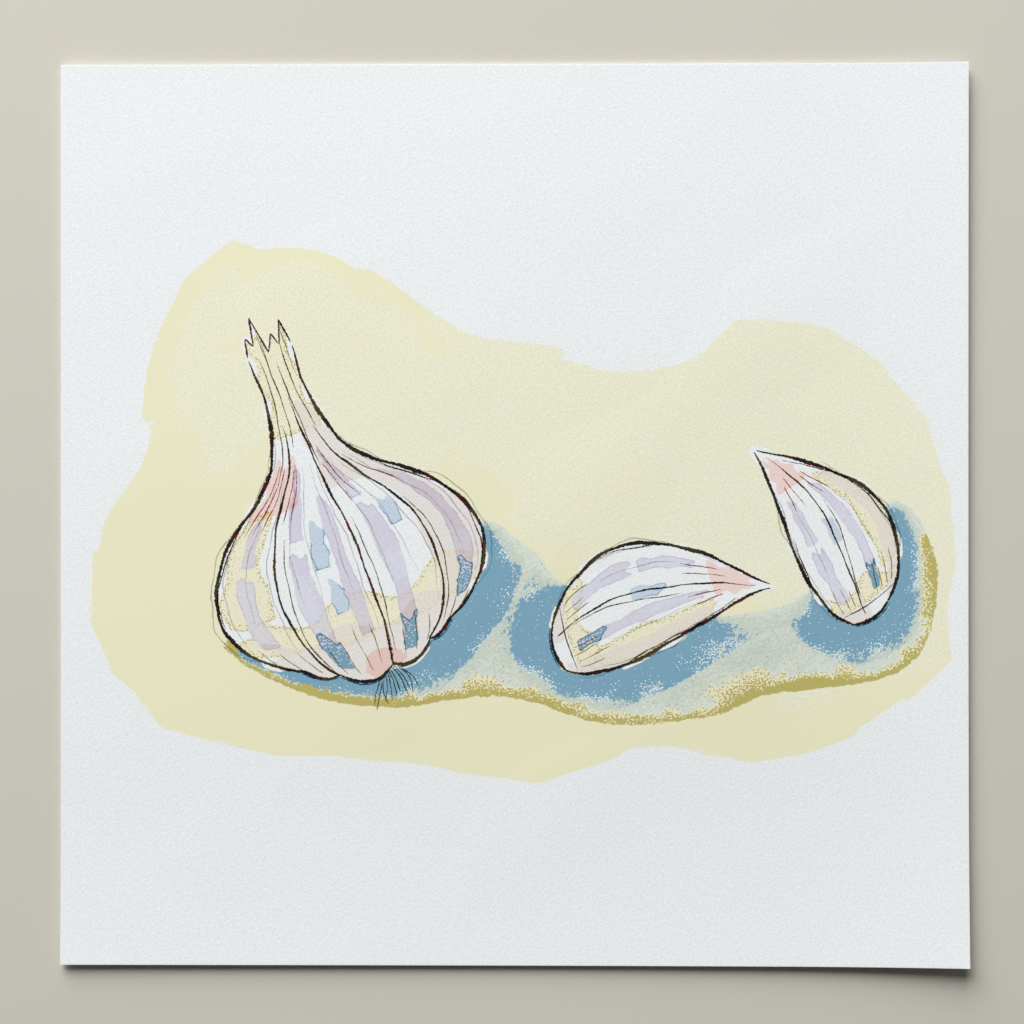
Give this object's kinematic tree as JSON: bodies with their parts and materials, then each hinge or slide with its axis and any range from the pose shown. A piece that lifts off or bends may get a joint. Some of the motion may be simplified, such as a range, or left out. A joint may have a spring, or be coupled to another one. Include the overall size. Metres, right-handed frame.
{
  "type": "watercolour painting on paper sheet",
  "caption": "Almost square sheet of heavy cold-pressed paper with an ink and watercolour study on its face, flat in the middle and lifting gently along its right side, its lower edge and at its corners.",
  "frame": {"origin": "on the table, under the middle of the sheet's bounding box", "axes": "+X to the right across the picture, +Y up the picture, +Z out of the painted face"},
  "size_m": [0.2032, 0.2026, 0.0035],
  "materials": {
    "painted_paper": "matte cotton paper with a soft cold-pressed tooth, transparent washes and pen lines on the upper face"
  },
  "bodies": {
    "root": {"paper_sheet": "painted_paper"}
  },
  "joints": []
}
